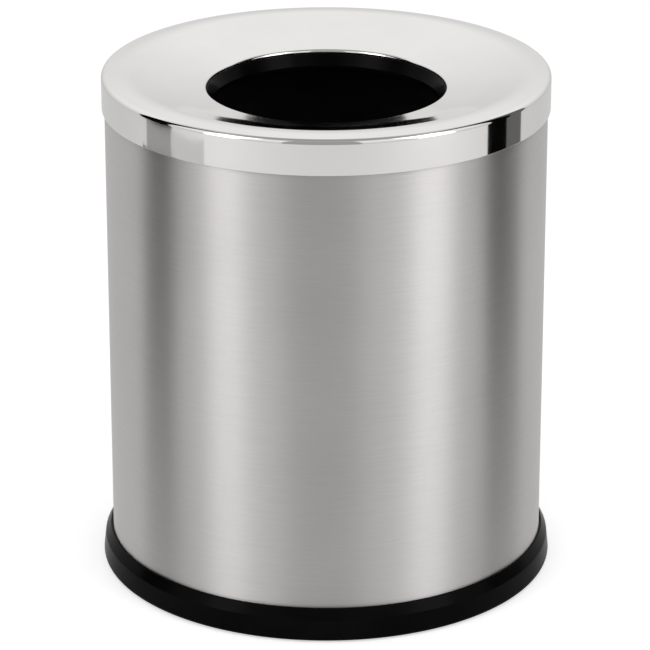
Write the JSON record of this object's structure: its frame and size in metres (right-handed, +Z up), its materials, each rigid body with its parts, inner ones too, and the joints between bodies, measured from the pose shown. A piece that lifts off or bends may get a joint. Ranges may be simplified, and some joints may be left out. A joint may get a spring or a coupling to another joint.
{
  "type": "open-top wastebasket",
  "caption": "Round open-top wastebasket: brushed steel shell on a flared black base ring, hanging inner bucket and a polished lift-off cover with a dished round mouth.",
  "frame": {"origin": "on the floor, at the middle of the base", "axes": "+Z up along the axis of the bin, -Y towards the front, the hand holes of the bucket on +X and -X"},
  "size_m": [0.2404, 0.2404, 0.271],
  "materials": {
    "brushed_steel": "brushed around the body, satin",
    "polished_steel": "polished",
    "plain_steel": "rolled, dull",
    "screw_steel": "zinc plated",
    "black_plastic": "moulded, semi-gloss",
    "collar_plastic": "moulded, semi-gloss",
    "bucket_plastic": "moulded, fine texture",
    "black_rubber": "matt"
  },
  "bodies": {
    "shell": {"outer_shell": "brushed_steel", "bottom_plate": "plain_steel", "base_ring": "black_plastic", "base_screws": "screw_steel", "foot_pads": "black_rubber"},
    "bucket": {"inner_bucket": "bucket_plastic"},
    "cover": {"cover_ring": "polished_steel", "mouth_collar": "collar_plastic"}
  },
  "joints": [
    {"name": "bucket_lift", "type": "slide", "parent": "shell", "child": "bucket", "axis": [0, 0, 1], "range_m": [0, 0.28]},
    {"name": "cover_lift", "type": "slide", "parent": "bucket", "child": "cover", "axis": [0, 0, 1], "range_m": [0, 0.12]}
  ]
}
